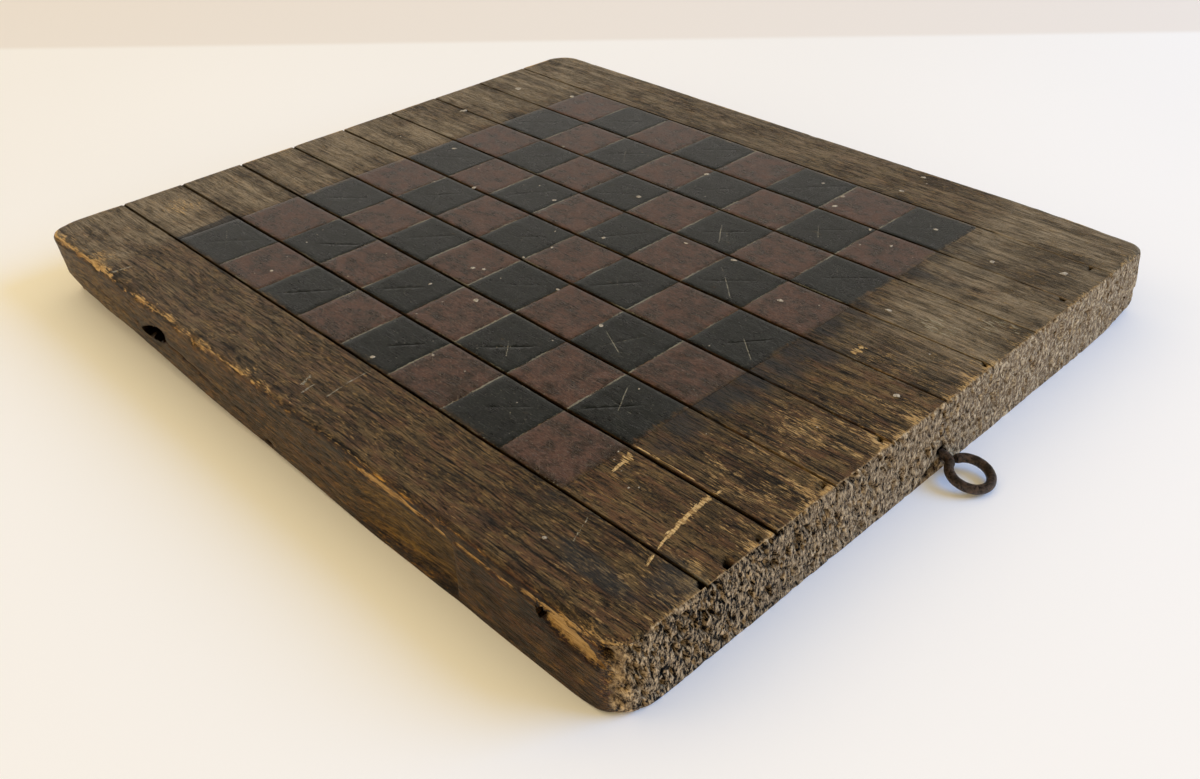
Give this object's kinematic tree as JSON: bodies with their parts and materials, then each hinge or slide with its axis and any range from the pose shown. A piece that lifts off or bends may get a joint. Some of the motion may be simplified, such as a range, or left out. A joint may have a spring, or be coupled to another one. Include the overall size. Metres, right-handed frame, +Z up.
{
  "type": "wooden checkers board",
  "caption": "Thick single-plank wooden checkers board with a scribed and painted square field, worn round edges and an iron screw eye in one end to hang it by.",
  "frame": {"origin": "centre of the plank's underside", "axes": "+Z up, out of the playing face; Y along the plank's grain, with the screw eye at the -Y end; X across the grain"},
  "size_m": [0.294, 0.3529, 0.0288],
  "materials": {
    "plank_wood": "aged softwood, dark brown, worn and dry, grain along Y",
    "dark_paint": "thin matt green-black oil paint, scratched and worn",
    "red_paint": "thin matt brown-red oil paint, worn",
    "eye_iron": "iron wire with an old dark oxide skin and light brown rust"
  },
  "bodies": {
    "board": {"plank": "plank_wood", "dark_squares": "dark_paint", "red_squares": "red_paint"},
    "eye": {"screw_eye": "eye_iron"}
  },
  "joints": [
    {"name": "eye_turn", "type": "hinge", "parent": "board", "child": "eye", "pos_m": [0.0039, -0.167, 0.006], "axis": [0, -0.9781, -0.2079], "range_deg": [-90, 90]}
  ]
}
